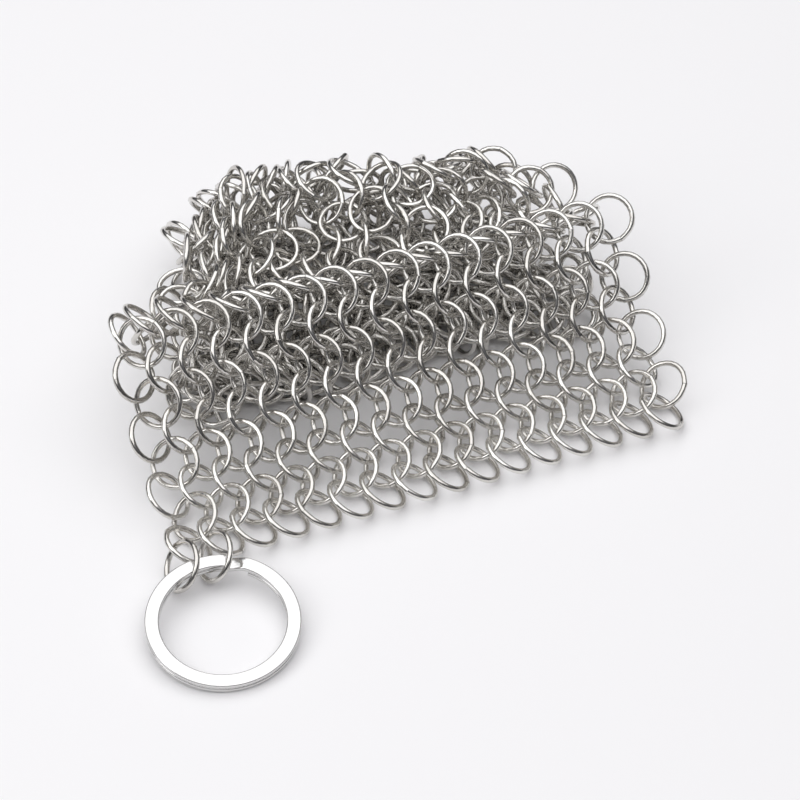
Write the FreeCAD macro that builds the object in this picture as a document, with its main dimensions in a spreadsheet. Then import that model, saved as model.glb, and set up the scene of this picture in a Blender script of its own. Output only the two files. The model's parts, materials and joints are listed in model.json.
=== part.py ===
# Chainmail pot scrubber, in millimetres. A sheet of linked steel rings lies in a heap, with an
# apron of open weave in front, and a flat split ring hangs on two carrier rings at the corner.
# +X runs to the right, +Y to the back and +Z up. The origin is on the table under the middle.

import FreeCAD, Part
import math
import os
import random
from FreeCAD import Placement, Rotation, Vector

os.makedirs("parts", exist_ok=True)
doc = FreeCAD.newDocument("PotScrubber")

# Driving dimensions: lengths in millimetres, angles in degrees, and counts
driving = {
    "wire": 1.2,
    "ring_bore": 8.6,
    "weave_gap": 0.2,
    "row_clearance": 0.78,
    "column_pitch": 6.8,
    "heap_pitch": 6,
    "ring_lean": 33,
    "hem_turn": 24,
    "columns": 16,
    "rows": 30,
    "apron_rows": 8,
    "carrier_lean": 54,
    "carrier_lift": 0.13,
    "carrier_draw": 0.53,
    "carrier_shift": 0.3,
    "split_bore": 24.5,
    "strip_width": 2.75,
    "coil_thickness": 1.1,
    "coil_gap": 0.1,
    "split_seat": 1.33,
    "split_tilt": 7.2,
    "jog_angle": 18,
    "jog_turn": 38,
    "end_gap_angle": 1.5,
}
sheet = doc.addObject("Spreadsheet::Sheet", "Sizes")
for line_number, (alias, value) in enumerate(driving.items(), start=1):
    sheet.set(f"A{line_number}", alias)
    sheet.set(f"B{line_number}", str(value))
    sheet.setAlias(f"B{line_number}", alias)
doc.recompute()


def size(alias):
    return float(getattr(sheet, alias))


columns = int(size("columns"))
rows = int(size("rows"))
apron_rows = int(size("apron_rows"))
lean = math.radians(size("ring_lean"))
hem_turn = Rotation(Vector(0, 0, 1), size("hem_turn"))
wire = size("wire")


# The mail is laid out and settled in wire diameters, so that it scales with the wire.
def in_wires(length):
    kept_digits = 9
    return round(length / wire, kept_digits)


ring_radius = in_wires((size("ring_bore") + wire) / 2)
spacing = in_wires(wire + size("weave_gap"))
row_pitch = in_wires(size("ring_bore") / 2 + wire + size("row_clearance"))
column_pitch = in_wires(size("column_pitch"))
heap_pitch = in_wires(size("heap_pitch"))
half_wire = in_wires(wire / 2)

# The fold line that the rows follow from the hem to the sheet's far end: up the front of the
# heap, over its top, back underneath and out again. Depth and height in row pitches.
fold_shares = [
    (0.0, 0.0), (1.0, 0.05), (2.0, 0.25), (2.9, 0.65), (3.7, 1.25), (4.45, 1.95), (5.15, 2.65),
    (6.6, 3.9), (8.2, 4.8), (10.0, 5.3), (11.8, 5.5), (13.2, 5.1), (13.9, 4.05), (13.2, 3.0),
    (11.8, 2.65), (10.0, 2.65), (8.2, 2.65), (6.6, 2.5), (5.6, 1.6), (6.0, 0.5), (7.4, 0.1),
    (9.4, 0.1), (11.3, 0.1), (13.2, 0.1),
]
# The heap is pushed together into this box on the table, from the middle of the hem.
heap_left_share, heap_right_share = -7.6, 9.7
heap_front_share, heap_back_share = 2.6, 11.3
# Behind the apron the weave draws in over the first count of rows, and may move over the second.
draw_in_rows, free_rows = 8, 4
# How uneven the sheet is before it settles, and the moves of each step, as shares of the wire
tilt_share, shift_share = 0.05, 0.08
sink_share, pull_share, sway_share, turn_share = 0.05, 0.06, 0.05, 0.014
most_push_share, most_draw_share = 0.6, 0.2
# Wires nearer than the first, in wires, are kept on their own sides. Contacts are looked for
# as far beyond the spacing as the second, in wires.
crossing_share, look_ahead_share = 0.8, 1
# The sway's wave lengths in wires and its phases, for the moves along X, Y and Z
sway_shares = [(6, 4), (5.5, 4.5), (5, 4.5)]
sway_phase_shares = [4.1, 0.9, 4.8]

hem_height = ring_radius * math.sin(lean) + half_wire
fold_points = [Vector(0, d * row_pitch, hem_height + h * row_pitch) for d, h in fold_shares]
fold = Part.BSplineCurve()
fold.interpolate(fold_points)


def heap_blend(row, row_span):
    return min(max((row - apron_rows) / row_span, 0), 1)


# A point of the unsettled sheet: across the row, and along the fold line
def on_sheet(across, along):
    point = fold.value(fold.parameterAtDistance(along, fold.FirstParameter))
    return hem_turn.multVec(point + Vector(across, 0, 0))


# Every second row leans the other way, and stands half a pitch further along.
def weave_place(row, column):
    pitch = column_pitch + (heap_pitch - column_pitch) * heap_blend(row, draw_in_rows)
    side = -1 if row % 2 else 1
    across = (column - (columns - 1) / 2 - side / 4) * pitch
    along = row * row_pitch
    slope_share = 0.1
    step = half_wire * slope_share
    row_way = (on_sheet(across + step, along) - on_sheet(across - step, along)).normalize()
    fold_way = on_sheet(across, along + step) - on_sheet(across, max(along - step, 0))
    outwards = row_way.cross(fold_way).normalize()
    return on_sheet(across, along), outwards * math.cos(lean) + row_way * (side * math.sin(lean))


centres = []
axes = []
row_of = []
random.seed(12)


def some_way(share):
    return Vector(*[random.uniform(-share, share) for _ in range(3)])


for row in range(rows):
    for column in range(columns):
        centre, axis = weave_place(row, column)
        if row > 0:
            centre += some_way(shift_share)
            axis += some_way(tilt_share)
        centres.append(centre)
        axes.append(axis.normalize())
        row_of.append(row)
loose = [row >= apron_rows for row in row_of]
loose_rings = [ring for ring in range(len(centres)) if loose[ring]]
turn_ways = [some_way(1) for _ in row_of]


# Points round a ring, to find where it comes near another
def points_round(ring, count):
    axis = axes[ring]
    aside = Vector(1, 0, 0) if abs(axis.z) > abs(axis.x) else Vector(0, 0, 1)
    first = axis.cross(aside).normalize() * ring_radius
    second = axis.cross(first)
    angles = [2 * math.pi * step / count for step in range(count)]
    return [centres[ring] + first * math.cos(a) + second * math.sin(a) for a in angles]


def nearest_on(ring, point):
    offset = point - centres[ring]
    flat = offset - axes[ring] * offset.dot(axes[ring])
    return centres[ring] + flat.normalize() * ring_radius


def squared_distance(ring, point):
    offset = point - centres[ring]
    height = offset.dot(axes[ring])
    beside = math.sqrt(max(offset.dot(offset) - height * height, 0)) - ring_radius
    return height * height + beside * beside


# Pairs of rings that come near each other, with the point of the first that is nearest
def find_contacts(reach, points_each):
    cell = 2 * ring_radius + reach
    cells = {}
    for ring, centre in enumerate(centres):
        key = tuple(int(value // cell) for value in centre)
        cells.setdefault(key, []).append(ring)
    beside = [(x, y, z) for x in (-1, 0, 1) for y in (-1, 0, 1) for z in (-1, 0, 1)]
    contacts = []
    for (x, y, z), rings in cells.items():
        near = [ring for i, j, k in beside for ring in cells.get((x + i, y + j, z + k), ())]
        for first in rings:
            points = points_round(first, points_each)
            for second in near:
                if second <= first or not (loose[first] or loose[second]):
                    continue
                if centres[first].distanceToPoint(centres[second]) > cell:
                    continue
                away = [squared_distance(second, point) for point in points]
                for index, value in enumerate(away):
                    after = away[(index + 1) % len(away)]
                    if value < reach * reach and away[index - 1] >= value < after:
                        contacts.append([first, second, points[index], None])
    return contacts


# Moves and tips a ring that is pushed by a given amount at a point of its wire
def push(ring, point, way, amount):
    arm = (point - centres[ring]) * (1 / ring_radius)
    tip = way.dot(axes[ring]) * 2 * amount / ring_radius
    centres[ring] = centres[ring] + way * amount
    axes[ring] = (axes[ring] - arm * tip).normalize()


def give(ring, way):
    return 1 + 2 * way.dot(axes[ring]) ** 2 if loose[ring] else 0


# Pushes apart wires that are closer than the weave's spacing
def ease(contacts):
    for contact in contacts:
        first, second, point, last_way = contact
        point = nearest_on(first, nearest_on(second, point))
        opposite = nearest_on(second, point)
        way = point - opposite
        distance = way.Length
        way.normalize()
        if last_way and way.dot(last_way) < 0 and distance < crossing_share:
            way = way * -1
            distance = -distance
        contact[2:] = [point, way]
        lack = spacing - distance
        if lack > 0:
            amount = min(lack, most_push_share) / (give(first, way) + give(second, way))
            if loose[first]:
                push(first, point, way, amount)
            if loose[second]:
                push(second, opposite, way * -1, amount)


up = Vector(0, 0, 1)


def lift_off_table():
    for ring in loose_rings:
        axis = axes[ring]
        level_share = 1e-9
        level = math.sqrt(max(1 - axis.z * axis.z, level_share))
        lowest = centres[ring].z - ring_radius * level - half_wire
        if lowest < 0:
            arm = (up - axis * axis.z) * (-ring_radius / level)
            push(ring, centres[ring] + arm, up, -lowest / give(ring, up))


# Lowers the loose rings, pushes them into the heap's box, sways them and turns each its own way
def gather(sway):
    for ring in loose_rings:
        x, y, z = centres[ring]
        over_x = min(max(x, heap_left_share * row_pitch), heap_right_share * row_pitch) - x
        over_y = min(max(y, heap_front_share * row_pitch), heap_back_share * row_pitch) - y
        over = math.hypot(over_x, over_y)
        drawn = min(pull_share / over, most_draw_share) if over > 0 else 0
        beside = [(y, z), (x, z), (x, y)]
        swing = Vector(*[math.sin(one / long + other / short + phase) for (one, other), (long, short), phase
                         in zip(beside, sway_shares, sway_phase_shares)])
        move = Vector(over_x, over_y, 0) * drawn + swing * sway
        free = heap_blend(row_of[ring], free_rows)
        centres[ring] = centres[ring] + move * free - up * sink_share
        axes[ring] = (axes[ring] + turn_ways[ring] * (turn_share * free)).normalize()


# The sheet is eased apart, swayed while it sinks and is pushed together, settled and calmed.
easing_steps, swaying_steps, settling_steps, calming_steps = 24, 96, 200, 80
steps_between_looks, sweeps_each_step = 8, 4
rough_points, fine_points, gap_points = 12, 30, 60
swayed = easing_steps + swaying_steps
settled = swayed + settling_steps
for step in range(settled + calming_steps):
    if step % steps_between_looks == 0:
        points_each = rough_points if step < settled else fine_points
        contacts = find_contacts(spacing + look_ahead_share, points_each)
    if easing_steps <= step < settled:
        gather(sway_share if step < swayed else 0)
    for _ in range(sweeps_each_step):
        ease(contacts)
        contacts.reverse()
        lift_off_table()
least_gap = min(math.sqrt(squared_distance(second, point)) - 2 * half_wire
                for first, second, _, _ in find_contacts(2 * spacing, rough_points)
                for point in points_round(first, gap_points))
print("rings", len(centres), "least gap in the heap", round(least_gap * wire, 3))

# Two carrier rings at the hem's first ring, in a row of their own, and the split ring in them
carrier_lean = math.radians(size("carrier_lean"))
carrier_height = ring_radius * math.sin(carrier_lean) + half_wire + in_wires(size("carrier_lift"))
carrier_depth = row_pitch - in_wires(size("carrier_draw"))
corner_way = hem_turn.multVec(Vector(1, 0, 0))
corner_back = up.cross(corner_way)
corner = centres[0] + corner_way * in_wires(size("carrier_shift"))
carriers = []
for side in (-1, 1):
    flat = corner + corner_way * (side * column_pitch / 2) - corner_back * carrier_depth
    centre = Vector(flat.x, flat.y, carrier_height)
    axis = up * math.cos(carrier_lean) - corner_way * math.sin(carrier_lean)
    carriers.append((centre, axis))

split_radius = in_wires(size("split_bore") / 2 + size("strip_width"))
split_middle = in_wires(size("split_bore") / 2 + size("strip_width") / 2)
split_height = in_wires(2 * size("coil_thickness") + size("coil_gap"))
split_tilt = math.radians(size("split_tilt"))
split_depth = carrier_depth + in_wires(size("split_seat")) + split_middle
split_lift = split_radius * math.sin(split_tilt) + split_height / 2 * math.cos(split_tilt)
flat = corner - corner_back * split_depth
split_centre = Vector(flat.x, flat.y, split_lift)
split_axis = up * math.cos(split_tilt) - corner_back * math.sin(split_tilt)

# The part's corners, to put the origin on the table under its middle
lows = []
highs = []
for way in (Vector(1, 0, 0), Vector(0, 1, 0), up):
    reaches = []
    for centre, axis in [*zip(centres, axes), *carriers]:
        reach = ring_radius * math.sqrt(1 - axis.dot(way) ** 2) + half_wire
        reaches += [centre.dot(way) - reach, centre.dot(way) + reach]
    along = split_axis.dot(way)
    reach = split_radius * math.sqrt(1 - along ** 2) + split_height / 2 * abs(along)
    reaches += [split_centre.dot(way) - reach, split_centre.dot(way) + reach]
    lows.append(min(reaches))
    highs.append(max(reaches))
origin = Vector((lows[0] + highs[0]) / 2, (lows[1] + highs[1]) / 2, lows[2])


def place(centre, axis):
    return Placement((centre - origin) * wire, Rotation(up, axis))


# Each ring is a torus of the wire round the bore
def add_ring(name, centre, axis):
    ring = doc.addObject("Part::Torus", name)
    ring.setExpression("Radius1", "Sizes.ring_bore / 2 + Sizes.wire / 2")
    ring.setExpression("Radius2", "Sizes.wire / 2")
    ring.Placement = place(centre, axis)
    return ring


nodes = []
for row in range(rows):
    strip = doc.addObject("Part::Compound", f"Row{row + 1}")
    rings = [ring for ring in range(len(centres)) if row_of[ring] == row]
    strip.Links = [add_ring(f"Ring{ring + 1}", centres[ring], axes[ring]) for ring in rings]
    strip.Label = f"mail_row_{row + 1:02d}"
    nodes.append(strip)

for name, (centre, axis) in zip(("carrier_left", "carrier_right"), carriers):
    ring = add_ring("Carrier", centre, axis)
    ring.Label = name
    nodes.append(ring)


# The split ring is one flat strip: a lower turn, a jog that climbs, and an upper turn.
def add_turn(name, start, height):
    outer = doc.addObject("Part::Cylinder", name + "Outer")
    outer.setExpression("Radius", "Sizes.split_bore / 2 + Sizes.strip_width")
    inner = doc.addObject("Part::Cylinder", name + "Inner")
    inner.setExpression("Radius", "Sizes.split_bore / 2")
    for disc in (outer, inner):
        disc.setExpression("Height", "Sizes.coil_thickness")
        disc.Placement = Placement(Vector(0, 0, height), Rotation(up, start))
    outer.setExpression("Angle", "360 - Sizes.jog_angle - Sizes.end_gap_angle")
    turn = doc.addObject("Part::Cut", name)
    turn.Base = outer
    turn.Tool = inner
    return turn


coil_thickness = size("coil_thickness")
lower_height = -coil_thickness - size("coil_gap") / 2
upper_height = size("coil_gap") / 2
jog_start = size("jog_turn") - size("jog_angle") / 2
jog_end = size("jog_turn") + size("jog_angle") / 2
lower_turn = add_turn("LowerTurn", jog_end + size("end_gap_angle"), lower_height)
upper_turn = add_turn("UpperTurn", jog_end, upper_height)


def jog_section(share):
    angle = jog_start + size("jog_angle") * share
    climb = share * share * (3 - 2 * share)
    foot = lower_height + (upper_height - lower_height) * climb
    inner = size("split_bore") / 2
    outer = inner + size("strip_width")
    top = foot + coil_thickness
    corners = [(inner, foot), (outer, foot), (outer, top), (inner, top)]
    points = [Rotation(up, angle).multVec(Vector(radius, 0, height)) for radius, height in corners]
    return Part.makePolygon(points + points[:1])


jog_steps = 8
jog = doc.addObject("Part::Feature", "Jog")
jog.Shape = Part.makeLoft([jog_section(step / jog_steps) for step in range(jog_steps + 1)], True, True)
split_ring = doc.addObject("Part::MultiFuse", "SplitRing")
split_ring.Shapes = [lower_turn, jog, upper_turn]
split_ring.Label = "split_ring"
split_ring.Placement = Placement((split_centre - origin) * wire, Rotation(
    corner_way, corner_back, split_axis, "ZXY"))
nodes.append(split_ring)
doc.recompute()

# Nothing is written unless every object is sound.
for item in doc.Objects:
    if "Invalid" in item.State or "Error" in item.State:
        raise RuntimeError(f"{item.Label} failed: {item.State}")
for node in nodes:
    if node.Shape.isNull() or not node.Shape.isValid():
        raise RuntimeError(f"{node.Label} has no valid shape")
for node in nodes:
    node.Shape.exportStep(f"parts/{node.Label}.step")
print("nodes", len(nodes), "solids", sum(len(node.Shape.Solids) for node in nodes))
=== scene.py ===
import bpy
import json
import math
import random
import numpy as np
from mathutils import Matrix, Vector


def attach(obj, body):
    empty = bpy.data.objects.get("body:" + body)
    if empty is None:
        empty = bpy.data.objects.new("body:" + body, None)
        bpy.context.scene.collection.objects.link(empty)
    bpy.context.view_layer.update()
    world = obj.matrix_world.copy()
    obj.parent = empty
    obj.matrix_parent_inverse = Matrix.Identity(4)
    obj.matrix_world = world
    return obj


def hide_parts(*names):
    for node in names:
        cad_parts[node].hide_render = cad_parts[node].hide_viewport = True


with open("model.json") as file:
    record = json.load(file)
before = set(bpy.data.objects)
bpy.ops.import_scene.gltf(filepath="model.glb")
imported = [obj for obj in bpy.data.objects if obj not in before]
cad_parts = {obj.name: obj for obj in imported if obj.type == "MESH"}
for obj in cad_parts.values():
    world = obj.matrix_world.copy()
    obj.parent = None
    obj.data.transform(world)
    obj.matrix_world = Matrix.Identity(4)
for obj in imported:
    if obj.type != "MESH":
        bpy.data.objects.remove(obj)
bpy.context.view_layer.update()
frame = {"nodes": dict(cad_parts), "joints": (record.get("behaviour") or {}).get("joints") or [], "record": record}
random.seed(11)
mm = 0.001
mergeReach = 0.001 * mm         # points nearer than this are one point
mixFirst, mixSecond, mixed = 6, 7, 2    # colour sockets of the Mix node, by number
bodyOfNode = {}
for body, nodes in frame["record"]["behaviour"]["bodies"].items():
    for node in nodes:
        bodyOfNode[node] = body
print("frame loaded with", len(frame["nodes"]), "nodes")


# small helpers
def clearSelection():
    if bpy.context.mode != "OBJECT":
        bpy.ops.object.mode_set(mode="OBJECT")
    bpy.ops.object.select_all(action="DESELECT")


def makeActive(obj):
    clearSelection()
    obj.select_set(True)
    bpy.context.view_layer.objects.active = obj


# sRGB hex to linear, with full alpha
def hexColour(text):
    parts = [int(text[i:i + 2], 16) / 255 for i in (1, 3, 5)]
    return [p / 12.92 if p <= 0.04045 else ((p + 0.055) / 1.055) ** 2.4 for p in parts] + [1.0]


def addNode(tree, kind, settings=None, inputs=None):
    node = tree.nodes.new(kind)
    for name, value in (settings or {}).items():
        setattr(node, name, value)
    for name, value in (inputs or {}).items():
        if isinstance(value, bpy.types.NodeSocket):
            tree.links.new(value, node.inputs[name])
        else:
            node.inputs[name].default_value = value
    return node


# camera: from the front, looking down on the heap as the photograph does
photoView = {
    "elevation": 46.0,          # degrees above the table
    "azimuth": 3.0,             # degrees to the right of the front
    "distance": 560 * mm,
    "target": (0 * mm, 1.5 * mm, 8 * mm),
    "frameWidth": 163 * mm,     # what the picture's width shows at the target
    "nearest": 10 * mm,         # nothing nearer to the camera is drawn
}


def makeCamera(look):
    data = bpy.data.cameras.new("photoCamera")
    camera = bpy.data.objects.new("photoCamera", data)
    bpy.context.scene.collection.objects.link(camera)
    tilt = math.radians(look["elevation"])
    turn = math.radians(look["azimuth"])
    level = math.cos(tilt)
    back = Vector((math.sin(turn) * level, -math.cos(turn) * level, math.sin(tilt)))
    camera.location = Vector(look["target"]) + look["distance"] * back
    camera.rotation_euler = (math.pi / 2 - tilt, 0, turn)
    data.lens = data.sensor_width * look["distance"] / look["frameWidth"]
    data.clip_start = look["nearest"]
    bpy.context.scene.camera = camera


makeCamera(photoView)
print("camera set")


# studio: a pale table in a dim room, a broad soft light overhead that gives each wire its wide
# bright band, and a smaller one at the front left
studio = {
    "tableWidth": 6.0,          # metres, as are the lights' places and widths
    "tableColour": "#f6f5f6",
    "tableRoughness": 0.7,
    "wallColour": "#141415",
    "ceilingColour": "#8f8f93",
    "roomStrength": 1.0,
    "over": {"place": (-0.05, 0.05, 0.8), "width": 1.7, "power": 11.9},
    "side": {"place": (-0.75, -0.35, 0.55), "width": 0.4, "power": 1.2},
}


def makeTable(look):
    clearSelection()
    bpy.ops.mesh.primitive_plane_add(size=look["tableWidth"], location=(0, 0, 0))
    table = bpy.context.object
    table.name = "table"
    paint = bpy.data.materials.new("paleTable")
    paint.use_nodes = True
    shader = paint.node_tree.nodes["Principled BSDF"]
    shader.inputs["Base Color"].default_value = hexColour(look["tableColour"])
    shader.inputs["Roughness"].default_value = look["tableRoughness"]
    table.data.materials.append(paint)


def makeSoftLight(name, look, aim):
    data = bpy.data.lights.new(name, "AREA")
    data.size = look["width"]
    data.energy = look["power"]
    lamp = bpy.data.objects.new(name, data)
    bpy.context.scene.collection.objects.link(lamp)
    lamp.location = look["place"]
    lamp.rotation_euler = (Vector(aim) - lamp.location).to_track_quat("-Z", "Y").to_euler()


def makeStudio(look):
    makeTable(look)
    room = bpy.data.worlds.new("room")
    room.use_nodes = True
    tree = room.node_tree
    # the room gets lighter from the walls up to the ceiling
    way = addNode(tree, "ShaderNodeTexCoord").outputs["Generated"]
    height = addNode(tree, "ShaderNodeSeparateXYZ", {}, {"Vector": way}).outputs["Z"]
    tone = addNode(tree, "ShaderNodeMix", {"data_type": "RGBA"}, {
        "Factor": height,
        mixFirst: hexColour(look["wallColour"]),
        mixSecond: hexColour(look["ceilingColour"])}).outputs[mixed]
    back = tree.nodes["Background"]
    tree.links.new(tone, back.inputs["Color"])
    back.inputs["Strength"].default_value = look["roomStrength"]
    bpy.context.scene.world = room
    for name in ("over", "side"):
        makeSoftLight(name + "Light", look[name], photoView["target"])
    bpy.context.scene.view_settings.view_transform = "Standard"


makeStudio(studio)
print("studio set")


# stainless steel wire, drawn, cut, butted and tumbled: bright, slightly uneven, darker at the butt
mailSteel = {
    "colour": "#e2e0dc",
    "dullColour": "#cbc8c3",
    "buttColour": "#746f6a",
    "roughness": (0.11, 0.22),
    "tumbleMark": 0.9,          # mm, how far apart the tumbling marks lie
    "markDetail": 3.0,
    "markSpread": (0.3, 0.7),   # the part of the noise that goes from smooth to rough
    "markDepth": 0.04,
}


def makeMailSteel(look):
    steel = bpy.data.materials.new("tumbledSteelWire")
    steel.use_nodes = True
    tree = steel.node_tree
    shader = tree.nodes["Principled BSDF"]
    shader.inputs["Metallic"].default_value = 1.0
    place = addNode(tree, "ShaderNodeTexCoord").outputs["Object"]
    marks = addNode(tree, "ShaderNodeTexNoise", {}, {
        "Vector": place,
        "Scale": 1 / (look["tumbleMark"] * mm),
        "Detail": look["markDetail"]}).outputs["Fac"]
    tone = addNode(tree, "ShaderNodeAttribute", {"attribute_name": "ringTone"}).outputs["Fac"]
    butt = addNode(tree, "ShaderNodeAttribute", {"attribute_name": "butt"}).outputs["Fac"]
    wire = addNode(tree, "ShaderNodeMix", {"data_type": "RGBA"}, {
        "Factor": tone,
        mixFirst: hexColour(look["colour"]),
        mixSecond: hexColour(look["dullColour"])}).outputs[mixed]
    colour = addNode(tree, "ShaderNodeMix", {"data_type": "RGBA"}, {
        "Factor": butt, mixFirst: wire, mixSecond: hexColour(look["buttColour"])}).outputs[mixed]
    faint, strong = look["markSpread"]
    low, high = look["roughness"]
    rough = addNode(tree, "ShaderNodeMapRange", {}, {
        "Value": marks, "From Min": faint, "From Max": strong,
        "To Min": low, "To Max": high}).outputs["Result"]
    bump = addNode(tree, "ShaderNodeBump", {}, {
        "Height": marks,
        "Strength": look["markDepth"],
        "Distance": look["tumbleMark"] * mm}).outputs["Normal"]
    tree.links.new(colour, shader.inputs["Base Color"])
    tree.links.new(rough, shader.inputs["Roughness"])
    tree.links.new(bump, shader.inputs["Normal"])
    return steel


steelWire = makeMailSteel(mailSteel)
print("wire steel made")


# one mail ring: round wire bent round, its two cut ends butted with a fine gap between them
mailRing = {
    "wire": 1.2,                # mm
    "bore": 8.6,
    "bends": 12,                # spin steps round the ring
    "sides": 4,                 # corners of the wire before smoothing
    "buttGap": 0.08,            # gap between the butted ends
    "miss": 0.05,               # how far the ends miss each other sideways
    "smoothLevels": 1,
}


# selects the corners of the ring's two cut ends
def selectEnds(ring, endReach):
    bpy.ops.mesh.select_all(action="DESELECT")
    bpy.ops.object.mode_set(mode="OBJECT")
    for vertex in ring.data.vertices:
        vertex.select = vertex.co.x > 0 and abs(vertex.co.y) < endReach
    bpy.ops.object.mode_set(mode="EDIT")


def modelRing(look):
    # smoothing draws a cage of n corners in by (2 + cos(360 / n)) / 3, so the cage starts larger
    drawIn = [(2 + math.cos(2 * math.pi / look[n])) / 3 for n in ("sides", "bends")]
    wireRadius = look["wire"] / 2 / drawIn[0] * mm
    ringRadius = (look["bore"] + look["wire"]) / 2 / drawIn[1] * mm
    gapTurn = look["buttGap"] * mm / ringRadius
    endReach = 2 * look["buttGap"] * mm     # only the two ends lie this near the gap
    clearSelection()
    bpy.ops.mesh.primitive_circle_add(vertices=look["sides"], radius=wireRadius, fill_type="NGON",
                                      location=(ringRadius, 0, 0), rotation=(math.pi / 2, 0, 0))
    ring = bpy.context.object
    ring.name = "mailRing"
    bpy.ops.object.transform_apply(location=True, rotation=True, scale=True)
    bpy.ops.object.mode_set(mode="EDIT")
    bpy.ops.mesh.select_all(action="SELECT")
    bpy.ops.mesh.spin(steps=look["bends"], angle=2 * math.pi - gapTurn,
                      center=(0, 0, 0), axis=(0, 0, 1))
    bpy.ops.transform.translate(value=(0, 0, look["miss"] * mm))
    bpy.ops.mesh.select_all(action="SELECT")
    bpy.ops.mesh.normals_make_consistent(inside=False)
    # the ends keep sharp edges, and aren't drawn in by smoothing, so they go in here
    selectEnds(ring, endReach)
    bpy.ops.transform.edge_crease(value=1.0)
    bpy.ops.mesh.mark_sharp()
    bpy.ops.transform.translate(value=(ringRadius * (drawIn[1] - 1), 0, 0))
    bpy.ops.object.mode_set(mode="OBJECT")
    bpy.ops.object.shade_smooth()
    butt = ring.data.attributes.new("butt", "FLOAT", "FACE")
    for face in ring.data.polygons:
        isEnd = face.center.x > 0 and abs(face.center.y) < endReach
        butt.data[face.index].value = 1.0 if isEnd else 0.0
    ring.data.attributes.new("ringTone", "FLOAT", "POINT")
    ring.data.materials.append(steelWire)
    return ring


# each loose part of a CAD row is one ring: where its middle is and which way its axle points
def readRings(node):
    copy = bpy.data.objects.new("rowCopy", frame["nodes"][node].data.copy())
    bpy.context.scene.collection.objects.link(copy)
    makeActive(copy)
    bpy.ops.object.mode_set(mode="EDIT")
    bpy.ops.mesh.select_all(action="SELECT")
    bpy.ops.mesh.remove_doubles(threshold=mergeReach)
    bpy.ops.mesh.separate(type="LOOSE")
    bpy.ops.object.mode_set(mode="OBJECT")
    rings = []
    for part in list(bpy.context.selected_objects):
        points = np.array([vertex.co for vertex in part.data.vertices])
        axle = Vector(np.linalg.eigh(np.cov(points.T))[1][:, 0])
        if axle.z < 0:
            axle.negate()
        rings.append((Vector(points.mean(0)), axle))
        bpy.data.meshes.remove(part.data)
    return sorted(rings, key=lambda ring: tuple(round(value / mm, 3) for value in ring[0]))


# a copy of the ring on its place, turned at random so that the butts lie all round
def placeRing(model, middle, axle):
    ring = model.copy()
    ring.data = model.data.copy()
    spin = random.uniform(0, 2 * math.pi)
    tone = random.random()
    turn = Vector((0, 0, 1)).rotation_difference(axle).to_matrix().to_4x4()
    ring.data.transform(Matrix.Translation(middle) @ turn @ Matrix.Rotation(spin, 4, "Z"))
    values = [tone] * len(ring.data.vertices)
    ring.data.attributes["ringTone"].data.foreach_set("value", values)
    bpy.context.scene.collection.objects.link(ring)
    return ring


def buildRow(model, node, name):
    rings = [placeRing(model, middle, axle) for middle, axle in readRings(node)]
    makeActive(rings[0])
    for ring in rings:
        ring.select_set(True)
    bpy.ops.object.join()
    row = bpy.context.object
    row.name = name
    smooth = row.modifiers.new("roundWire", "SUBSURF")
    smooth.levels = mailRing["smoothLevels"]
    smooth.render_levels = mailRing["smoothLevels"]
    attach(row, bodyOfNode[node])
    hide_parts(node)


ringModel = modelRing(mailRing)
print("ring modelled with", len(ringModel.data.polygons), "faces")
for node in sorted(frame["nodes"]):
    if node.startswith("mail_row_"):
        buildRow(ringModel, node, "mailRow" + node[-2:])
print("mail rows built")
buildRow(ringModel, "carrier_left", "carrierLeft")
buildRow(ringModel, "carrier_right", "carrierRight")
bpy.data.objects.remove(ringModel)
print("carriers built")


# flat split ring: two turns of strip with a jog between them, edges eased
splitRing = {
    "jogAt": 38.0,              # degrees round the ring from its hinge line
    "jogSpan": 18.0,
    "endGap": 1.5,
    "jogSteps": 8,
    "turnSteps": 90,
    "coilThickness": 1.1,       # mm
    "edgeEase": 0.3,            # the drawn strip's edges are well rounded
    "easeSteps": 3,
    "smoothAngle": 35.0,        # degrees, sharper edges stay sharp
}
# cold-drawn steel strip, ground and polished: a bright face with faint lines round it
splitSteel = {
    "colour": "#dcdbda",
    "roughness": (0.14, 0.2),
    "grindLine": 0.7,           # mm between grinding lines, coarser than real so that they show
    "lineWander": 1.5,
    "lineDetail": 2.0,
    "lineDepth": 0.01,
    "ringsTurn": math.pi / 10,  # wave texture scale that gives one ring each unit of length
}


# the split ring lies on the frame's mount, turned from its hinge line
def splitPlace():
    mount = frame["record"]["mounts"][0]
    hinge = next(joint for joint in frame["joints"] if joint["child"] == "split_ring")
    up = Vector(mount["axis"]).normalized()
    across = -Vector(hinge["axis"]).normalized()
    across = (across - up * across.dot(up)).normalized()
    turn = Matrix((across, up.cross(across), up)).transposed().to_4x4()
    return Matrix.Translation(Vector(mount["pos_m"])) @ turn


# inner and outer radius, lowest and highest face, as the CAD strip has them
def splitSizes(place):
    back = place.inverted()
    points = [back @ vertex.co for vertex in frame["nodes"]["split_ring"].data.vertices]
    reach = [math.hypot(point.x, point.y) for point in points]
    heights = [point.z for point in points]
    return min(reach), max(reach), min(heights), max(heights)


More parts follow.
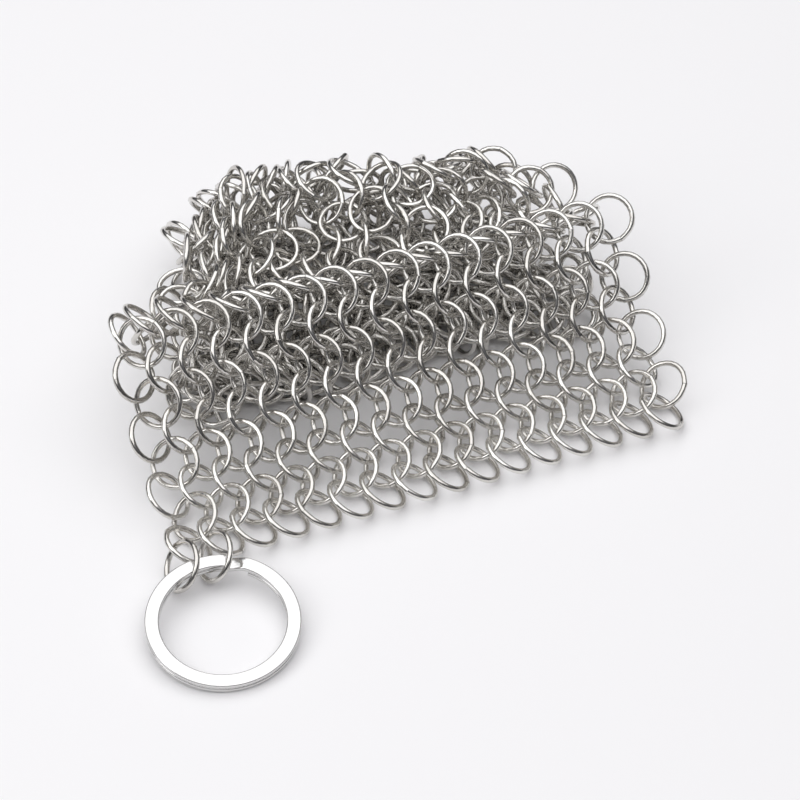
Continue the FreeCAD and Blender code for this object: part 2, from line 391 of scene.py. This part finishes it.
def makeSplitSteel(look, place):
    steel = bpy.data.materials.new("polishedSteelStrip")
    steel.use_nodes = True
    tree = steel.node_tree
    shader = tree.nodes["Principled BSDF"]
    shader.inputs["Metallic"].default_value = 1.0
    shader.inputs["Base Color"].default_value = hexColour(look["colour"])
    spot = addNode(tree, "ShaderNodeTexCoord").outputs["Object"]
    centred = addNode(tree, "ShaderNodeMapping", {"vector_type": "TEXTURE"}, {
        "Vector": spot,
        "Location": place.to_translation(),
        "Rotation": place.to_euler()}).outputs["Vector"]
    lines = addNode(tree, "ShaderNodeTexWave", {"wave_type": "RINGS", "rings_direction": "Z"}, {
        "Vector": centred,
        "Scale": look["ringsTurn"] / (look["grindLine"] * mm),
        "Distortion": look["lineWander"],
        "Detail": look["lineDetail"]}).outputs["Fac"]
    low, high = look["roughness"]
    rough = addNode(tree, "ShaderNodeMapRange", {}, {
        "Value": lines, "To Min": low, "To Max": high}).outputs["Result"]
    bump = addNode(tree, "ShaderNodeBump", {}, {
        "Height": lines,
        "Strength": look["lineDepth"],
        "Distance": look["grindLine"] * mm}).outputs["Normal"]
    tree.links.new(rough, shader.inputs["Roughness"])
    tree.links.new(bump, shader.inputs["Normal"])
    return steel


def buildSplitRing(look):
    place = splitPlace()
    inner, outer, low, high = splitSizes(place)
    thickness = look["coilThickness"] * mm
    rise = high - low - thickness
    start = math.radians(look["jogAt"] + look["jogSpan"] / 2 + look["endGap"])
    clearSelection()
    bpy.ops.mesh.primitive_plane_add(size=1, location=((inner + outer) / 2, 0, low + thickness / 2),
                                     rotation=(math.pi / 2, 0, 0))
    strip = bpy.context.object
    strip.name = "splitRing"
    strip.scale = (outer - inner, thickness, 1)
    bpy.ops.object.transform_apply(location=True, rotation=True, scale=True)
    bpy.ops.object.mode_set(mode="EDIT")
    bpy.ops.mesh.select_all(action="SELECT")
    bpy.ops.mesh.bevel(offset=look["edgeEase"] * mm, segments=look["easeSteps"], affect="VERTICES")
    bpy.ops.mesh.select_all(action="SELECT")
    turn = 2 * math.pi - math.radians(look["jogSpan"] + look["endGap"])
    bpy.ops.mesh.spin(steps=look["turnSteps"], angle=turn, center=(0, 0, 0), axis=(0, 0, 1))
    # the jog eases up from the lower turn to the upper one
    climbed = 0
    for step in range(1, look["jogSteps"] + 1):
        share = step / look["jogSteps"]
        climb = rise * share * share * (3 - 2 * share)
        bpy.ops.mesh.spin(steps=1, angle=math.radians(look["jogSpan"]) / look["jogSteps"],
                          center=(0, 0, 0), axis=(0, 0, 1))
        bpy.ops.transform.translate(value=(0, 0, climb - climbed))
        climbed = climb
    bpy.ops.mesh.spin(steps=look["turnSteps"], angle=turn, center=(0, 0, 0), axis=(0, 0, 1))
    bpy.ops.mesh.select_all(action="SELECT")
    bpy.ops.mesh.remove_doubles(threshold=mergeReach)
    bpy.ops.mesh.normals_make_consistent(inside=False)
    bpy.ops.object.mode_set(mode="OBJECT")
    strip.data.transform(place @ Matrix.Rotation(start, 4, "Z"))
    bpy.ops.object.shade_smooth_by_angle(angle=math.radians(look["smoothAngle"]))
    strip.data.materials.append(makeSplitSteel(splitSteel, place))
    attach(strip, "split_ring")
    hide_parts("split_ring")


buildSplitRing(splitRing)
print("split ring built")
